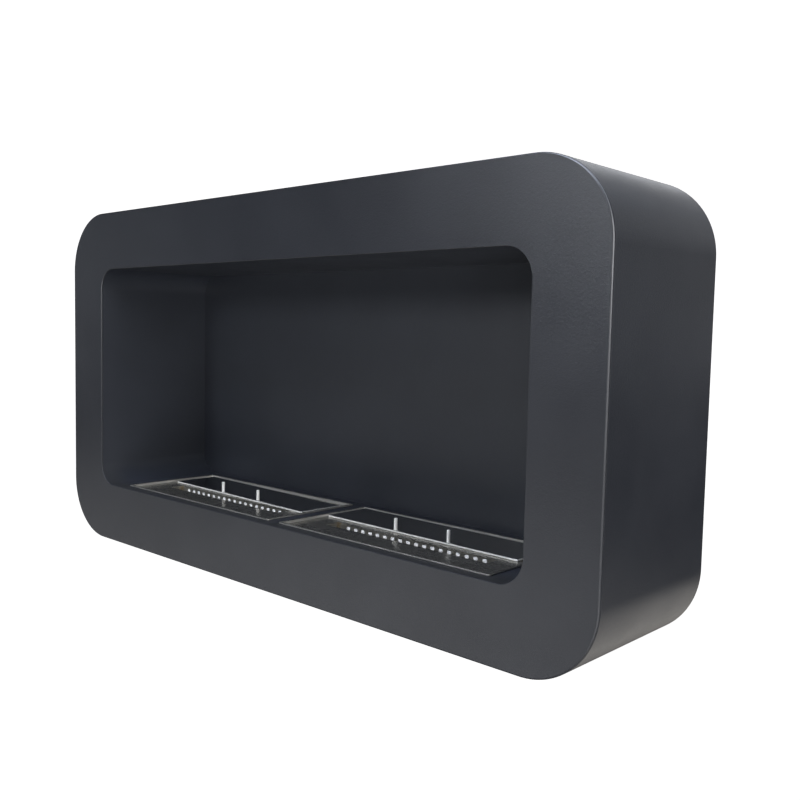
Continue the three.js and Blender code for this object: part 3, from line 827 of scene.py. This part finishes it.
def pin(side, k, i, x):
    """Plain round push pin, welded to the lid with a small fillet."""
    z0, z1 = LID_TOP, LID_TOP + PIN_H
    c = 0.35
    prof = [(0.0, z0 - LID_T + 0.1), (1.35, z0 - LID_T + 0.1), (1.5, z0 - LID_T + 0.25), (1.5, z0 - 0.02), (2.35, z0 - 0.02)]
    prof += [(PIN_R + 0.4 - 0.4 * math.sin(v), z0 + 0.4 - 0.4 * math.cos(v)) for v in arc(5, 0, 90)]
    prof += [(PIN_R, z1 - c)]
    prof += [(PIN_R - c + c * math.cos(v), z1 - c + c * math.sin(v)) for v in arc(4, 0, 90)][1:]
    prof += [(0.0, z1)]
    return lathe(f"lid_pin_{side}_{i}_turned", prof, 36, lie(side, k, x, PIN_IN - LID_D / 2, 0.0))


for side, k in SIDES:
    finish(tray(side, k), f"burner_{side}", TRAY[side], [f"burner_tray_{side}"], 50)
    finish(tank(side, k), f"burner_{side}", TANK, [f"fuel_tank_{side}"], 50)
    finish(channel(side, k), f"burner_{side}", CHANNEL[side], [f"burner_channel_{side}"], 35)
    finish(wool(side, k), f"burner_{side}", WOOL, [f"ceramic_wool_{side}"], 70)
    finish(lid(side, k), f"lid_{side}", LID, [f"slide_lid_{side}"], 30)
    for i, x in enumerate(PIN_X, 1):
        finish(pin(side, k, i, x), f"lid_{side}", PIN, [f"lid_pin_{side}_{i}"], 40)

# ------------------------------------------------------------------ CAD pieces that stay
for name, node in NODES.items():
    if node.hide_render:
        continue
    m = INNER if name == "firebox_back" else ZINC
    for s in node.material_slots:
        s.material = m
    if not node.material_slots:
        node.data.materials.append(m)

# ------------------------------------------------------------------ floor and light
FLOOR_LEVEL, ROOM, ROOM_H, COVE = -2.6, 28.0, 14.0, 2.0


def stage_floor():
    """Wide pale floor, well under the wall-hung casing, that curves up into pale walls and a ceiling all round."""
    steps = [(COVE * (1 - math.sin(a)), COVE * (1 - math.cos(a))) for a in arc(12, 0, 90)]
    steps += [(COVE * (1 - math.cos(a)), ROOM_H - COVE + COVE * math.sin(a)) for a in arc(12, 0, 90)]
    loops = [flat_loop(outline(ROOM - 2 * g, ROOM - 2 * g, 5.0 - g, 12), FLOOR_LEVEL + z) for g, z in steps]
    n = len(loops[0])
    verts = [q for lp in loops for q in lp]
    faces = ring_faces(len(loops), n, False) + [tuple(range(n)), tuple(range((len(loops) - 1) * n, len(loops) * n))]
    me = bpy.data.meshes.new("studio_floor")
    me.from_pydata(verts, [], faces)
    me.shade_smooth()
    ob = bpy.data.objects.new("studio_floor", me)
    scene.collection.objects.link(ob)
    s = Build("studio_floor_paint")
    s.link(s.ramp(s.noise(3.0, 2.0), ((0.3, (0.86, 0.86, 0.86)), (0.7, (0.88, 0.88, 0.88)))), s.b.inputs["Base Color"])
    s.put(Roughness=0.9)
    s.b.inputs["Emission Color"].default_value = (1, 1, 1, 1)
    s.b.inputs["Emission Strength"].default_value = 1.1
    me.materials.append(s.m)
    ob.visible_diffuse = False
    ob.visible_glossy = False
    ob.visible_shadow = False
    return ob


stage_floor()

world = bpy.data.worlds.new("studio_world")
scene.world = world
world.use_nodes = True
wnt = world.node_tree
bg = next(n for n in wnt.nodes if n.type == "BACKGROUND")
bg.inputs["Color"].default_value = (1.0, 1.0, 1.0, 1.0)
bg.inputs["Strength"].default_value = 0.01


def softbox(name, place, target, size, watts, tint=(1.0, 1.0, 1.0)):
    lamp = bpy.data.lights.new(name, "AREA")
    lamp.shape = "RECTANGLE"
    lamp.size, lamp.size_y = size
    lamp.energy = watts
    lamp.color = tint
    ob = bpy.data.objects.new(name, lamp)
    scene.collection.objects.link(ob)
    ob.location = place
    ob.rotation_euler = (Vector(target) - Vector(place)).to_track_quat("-Z", "Y").to_euler()
    ob.visible_camera = False
    return ob


COOL, SOFT_COOL, PLAIN, WARM = (0.90, 0.97, 1.12), (0.95, 0.99, 1.05), (1.0, 1.0, 1.0), (1.05, 1.0, 0.93)
# Softboxes on a 3 m sphere: name, degrees to the right of the front, degrees up, size, watts, tint.
SOFTBOXES = (
    ("key_left", -20, 17, 0.5, 4.2, SOFT_COOL),
    ("key_right", -12, 17, 0.6, 17.1, SOFT_COOL),
    ("left_low", -35, -24, 1.3, 7.6, PLAIN),
    ("far_left_low", -62, -22, 1.3, 3.3, PLAIN),
    ("far_left_level", -68, 5, 0.9, 1.1, SOFT_COOL),
    ("front_low", -5, -26, 1.4, 7.0, PLAIN),
    ("front_top", 0, 60, 2.0, 87.6, COOL),
    ("fill_right", 75, 10, 1.6, 56.2, PLAIN),
    ("bounce_right", 45, -28, 1.4, 55.1, PLAIN),
    ("rim_left", -160, 12, 2.6, 13.7, PLAIN),
    ("rim_left_high", -150, 30, 2.4, 11.9, SOFT_COOL),
    ("rim_right_high", 140, 38, 3.0, 3.8, SOFT_COOL),
    ("rim_right_low", 160, -45, 2.6, 15.4, WARM),
    ("rim_right_level", 165, 12, 1.6, 2.6, PLAIN),
    ("side_right", 100, 20, 2.6, 22.7, SOFT_COOL),
    ("top_right", 120, 65, 3.0, 56.5, COOL),
)
for name, az, el, size, watts, tint in SOFTBOXES:
    az, el = math.radians(az), math.radians(el)
    place = (3.0 * math.sin(az) * math.cos(el), -0.1 - 3.0 * math.cos(az) * math.cos(el), 3.0 * math.sin(el))
    softbox(f"softbox_{name}", place, (0.0, -0.1, 0.0), (size, size), watts, tint)

scene.view_settings.view_transform = "Standard"
scene.view_settings.look = "None"
scene.view_settings.exposure = 0.0
scene.view_settings.gamma = 1.0
